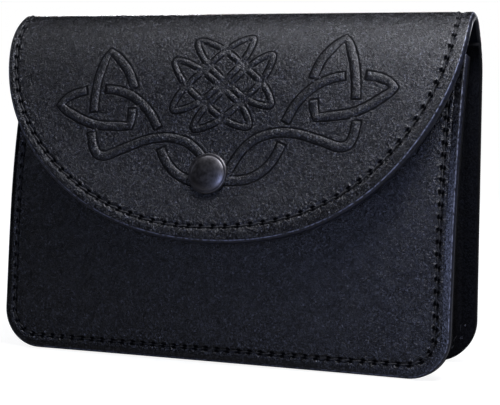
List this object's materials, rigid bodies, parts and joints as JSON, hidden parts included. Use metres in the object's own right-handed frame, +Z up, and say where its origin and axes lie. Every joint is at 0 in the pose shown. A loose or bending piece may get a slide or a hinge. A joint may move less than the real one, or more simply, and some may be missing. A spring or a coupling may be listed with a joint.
{
  "type": "kilt belt pouch",
  "caption": "Leather belt pouch with a rounded flap closed by a press stud, a folded-in gusset and upright belt loops on the back.",
  "frame": {"origin": "centre of the part's box in X and Y, at the height of the surface it stands on", "axes": "+X along the width, to the right as seen from the front; the flap and front face -Y, the belt loops face +Y; +Z up"},
  "size_m": [0.1796, 0.0602, 0.1279],
  "materials": {
    "black_leather": "smooth black full-grain leather, satin",
    "black_gusset_leather": "thinner black leather, matt",
    "dark_nickel": "satin dark nickel plate"
  },
  "bodies": {
    "root": {"back_and_flap": "black_leather", "front_panel": "black_leather", "gusset": "black_gusset_leather", "snap_cap": "dark_nickel", "snap_stud": "dark_nickel", "belt_loop_left": "black_leather", "belt_loop_right": "black_leather"}
  },
  "joints": []
}
